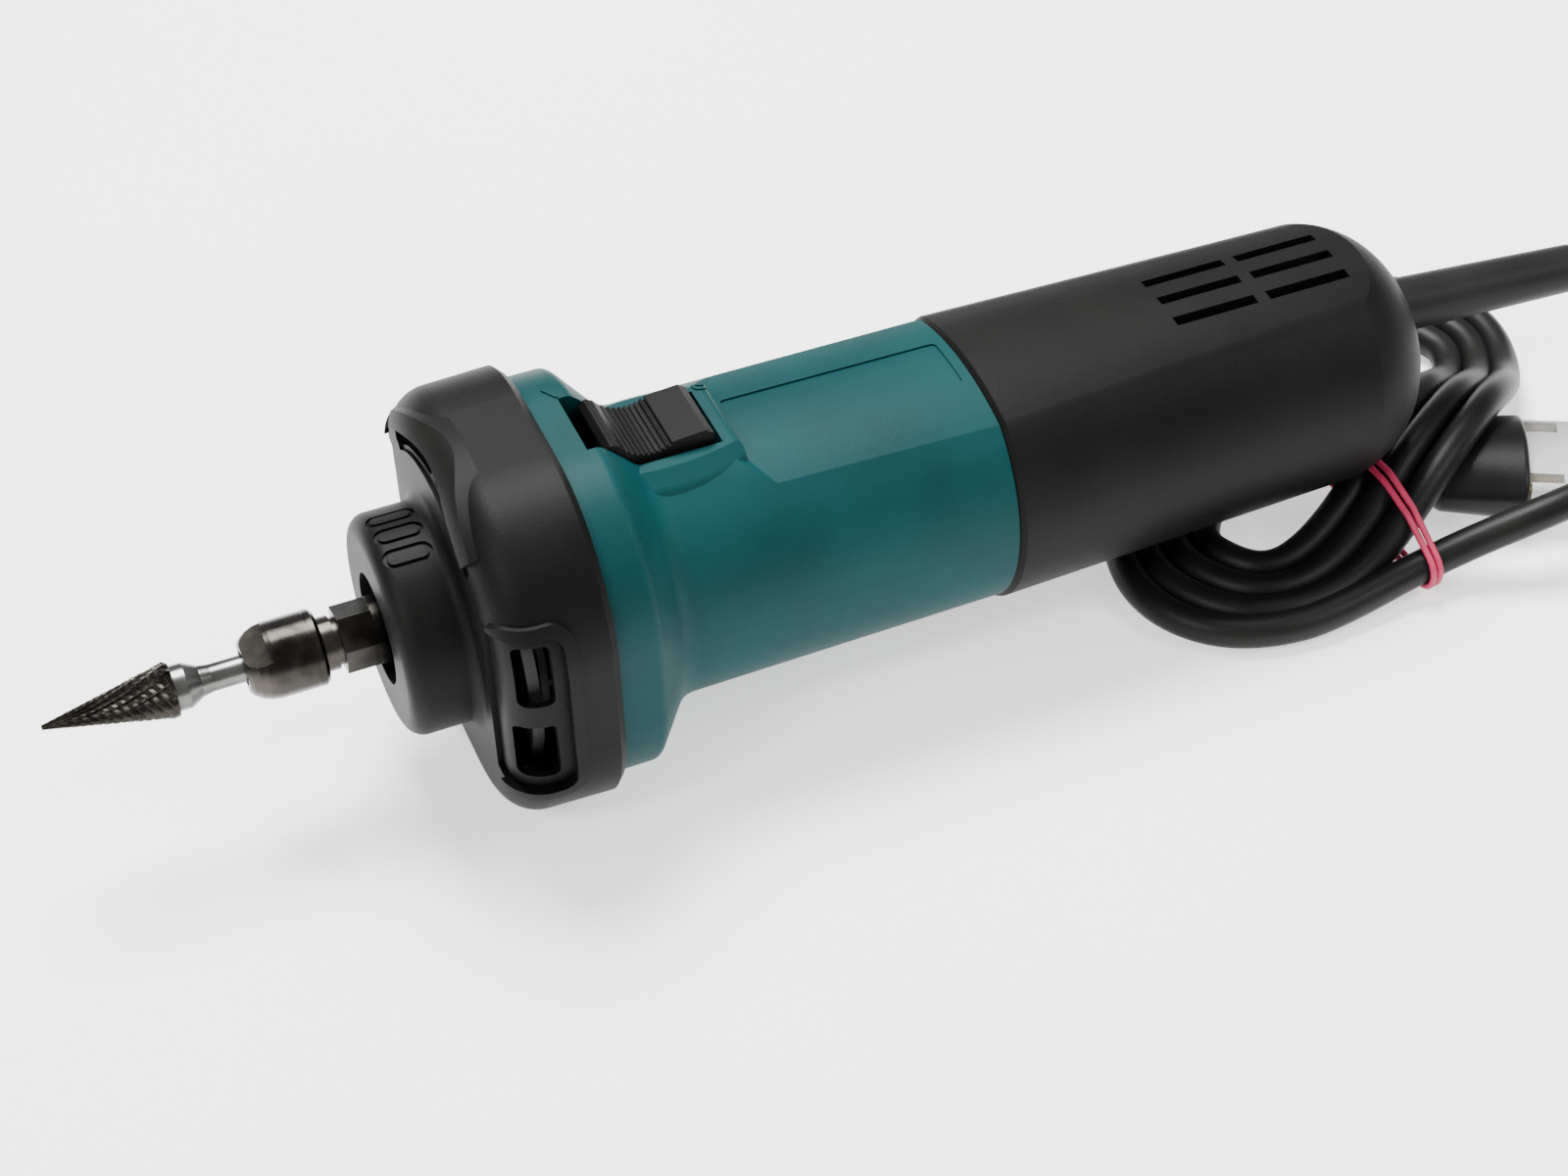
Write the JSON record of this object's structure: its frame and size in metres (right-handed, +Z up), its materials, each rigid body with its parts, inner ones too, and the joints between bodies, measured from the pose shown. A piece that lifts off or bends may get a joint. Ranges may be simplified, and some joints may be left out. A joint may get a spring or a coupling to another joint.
{
  "type": "straight die grinder",
  "caption": "Mains straight die grinder with a black head, teal motor body, slide switch, pointed burr in a collet, and a wound-up cord with plug.",
  "frame": {"origin": "on the table below the middle of the tool's length", "axes": "+X along the spindle from the burr towards the cord, +Z up out of the slide switch"},
  "size_m": [0.5525, 0.1353, 0.0877],
  "materials": {
    "black_plastic": "satin",
    "teal_plastic": "satin",
    "soft_rubber": "matt",
    "cord_sheath": "satin",
    "red_rubber": "satin",
    "plug_plastic": "satin",
    "pin_metal": "polished",
    "clear_plastic": "translucent",
    "alloy_casting": "cast",
    "dark_steel": "machined",
    "bright_steel": "machined",
    "carbide": "ground",
    "lamination_steel": "stacked sheet",
    "copper_wire": "enamelled",
    "grey_plastic": "moulded",
    "carbon": "pressed",
    "fan_plastic": "moulded"
  },
  "bodies": {
    "housing": {"head_cover": "black_plastic", "baffle_plate": "black_plastic", "bearing_box": "alloy_casting", "housing_screws": "dark_steel", "motor_housing": "teal_plastic", "rear_cover": "black_plastic", "cover_screw": "dark_steel", "cord_guard": "soft_rubber", "bearing_outer_rings": "bright_steel", "field_core": "lamination_steel", "field_coils": "copper_wire", "bearing_cup": "soft_rubber", "brush_holders": "pin_metal", "carbon_brushes": "carbon", "brush_springs": "bright_steel", "switch_body": "grey_plastic", "suppressor_capacitor": "grey_plastic", "cord_clamp": "grey_plastic", "clamp_screws": "bright_steel", "cord_entry": "cord_sheath", "cord_lead": "cord_sheath", "cord_tail": "cord_sheath", "cord_coil": "cord_sheath", "rubber_band": "red_rubber", "plug_body": "plug_plastic", "plug_pins": "pin_metal", "pin_cover": "clear_plastic"},
    "spindle": {"spindle_shaft": "dark_steel", "collet": "bright_steel", "armature_core": "lamination_steel", "armature_windings": "copper_wire", "commutator": "copper_wire", "cooling_fan": "fan_plastic", "bearing_inner_rings": "bright_steel"},
    "nut": {"collet_nut": "dark_steel"},
    "burr": {"burr_shank": "bright_steel", "burr_head": "carbide"},
    "switch": {"switch_button": "black_plastic", "switch_link": "grey_plastic", "switch_slider": "grey_plastic"}
  },
  "joints": [
    {"name": "spindle_spin", "type": "hinge", "parent": "housing", "child": "spindle", "pos_m": [-0.07677, 0, 0.04346], "axis": [-1, 0, 0], "continuous": true},
    {"name": "collet_nut_turn", "type": "hinge", "parent": "spindle", "child": "nut", "pos_m": [-0.13477, 0, 0.04346], "axis": [-1, 0, 0], "range_deg": [0, 720]},
    {"name": "burr_pull", "type": "slide", "parent": "spindle", "child": "burr", "axis": [-1, 0, 0], "range_m": [0, 0.03]},
    {"name": "switch_slide", "type": "slide", "parent": "housing", "child": "switch", "axis": [-1, 0, 0], "range_m": [0, 0.0036]}
  ]
}
